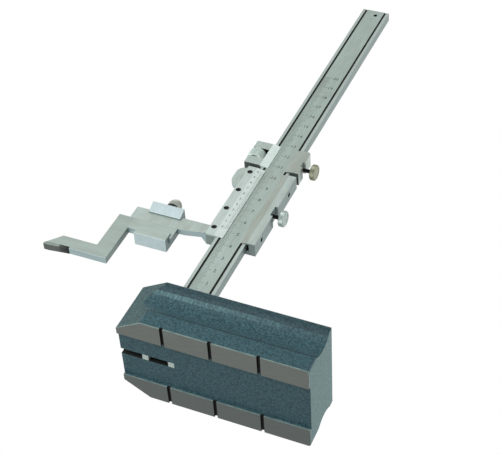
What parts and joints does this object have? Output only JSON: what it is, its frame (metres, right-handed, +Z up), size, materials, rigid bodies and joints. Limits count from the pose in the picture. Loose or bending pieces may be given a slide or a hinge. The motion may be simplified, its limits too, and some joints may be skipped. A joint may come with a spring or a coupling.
{
  "type": "vernier height gauge",
  "caption": "Vernier height gauge: heavy painted base, upright graduated column, slider with arm and clamped scriber, and a fine adjustment carriage with a knurled nut.",
  "frame": {"origin": "middle of the base in plan, at the height of the ground rails that it stands on", "axes": "+Z up the column; the measuring arm points to -X; the graduated face looks to -Y"},
  "size_m": [0.1748, 0.0544, 0.3255],
  "materials": {
    "painted_casting": "blue-grey hammered paint, ground rails bare",
    "ground_steel": "fine ground satin",
    "bright_steel": "matt chrome plated",
    "knurled_steel": "knurled, plated",
    "knurled_nickel": "knurled, warm nickel plate",
    "thread_steel": "threaded, oiled",
    "black_steel": "black oxide",
    "bronze_strip": "rolled, oiled",
    "carbide": "ground hard metal"
  },
  "bodies": {
    "root": {"base_casting": "painted_casting", "column": "ground_steel", "column_clamp_screw": "black_steel"},
    "carriage": {"carriage_body": "ground_steel", "carriage_cover": "bright_steel"},
    "carriage_lock": {"carriage_lock_stud": "black_steel", "carriage_lock_knob": "knurled_nickel"},
    "nut": {"fine_nut": "knurled_steel"},
    "slider": {"slider_body": "ground_steel", "vernier_plate": "bright_steel", "vernier_screws": "black_steel", "gib_strip": "bronze_strip", "gib_screws": "black_steel", "fine_rod": "thread_steel"},
    "slider_lock": {"slider_lock_stud": "black_steel", "slider_lock_knob": "knurled_steel"},
    "scriber": {"scriber_body": "ground_steel", "carbide_tip": "carbide"},
    "clamp": {"scriber_clamp": "ground_steel"},
    "clamp_bolt": {"clamp_screw": "ground_steel"}
  },
  "joints": [
    {"name": "carriage_slide", "type": "slide", "parent": "root", "child": "carriage", "axis": [0, 0, 1], "range_m": [-0.05, 0.146]},
    {"name": "carriage_lock_turn", "type": "hinge", "parent": "carriage", "child": "carriage_lock", "pos_m": [-0.01, -0.0023, 0.1615], "axis": [1, 0, 0], "range_deg": [0, 180]},
    {"name": "fine_nut_turn", "type": "hinge", "parent": "carriage", "child": "nut", "pos_m": [-0.0462, -0.0023, 0.1632], "axis": [0, 0, 1], "range_deg": [-1440, 1440]},
    {"name": "fine_slide", "type": "slide", "parent": "carriage", "child": "slider", "axis": [0, 0, 1], "range_m": [-0.002, 0.002]},
    {"name": "slider_lock_turn", "type": "hinge", "parent": "slider", "child": "slider_lock", "pos_m": [-0.0117, -0.0023, 0.119], "axis": [1, 0, 0], "range_deg": [0, 180]},
    {"name": "scriber_slide", "type": "slide", "parent": "slider", "child": "scriber", "axis": [1, 0, 0], "range_m": [-0.008, 0.003]},
    {"name": "clamp_slide", "type": "slide", "parent": "slider", "child": "clamp", "axis": [1, 0, 0], "range_m": [-0.002, 0.008]},
    {"name": "clamp_screw_turn", "type": "hinge", "parent": "clamp", "child": "clamp_bolt", "pos_m": [-0.0708, -0.0044, 0.1], "axis": [0, 0, 1], "range_deg": [0, 360]}
  ],
  "couplings": [
    {"joint": "fine_nut_turn", "follows": "fine_slide", "rad_per_m": -12566}
  ]
}
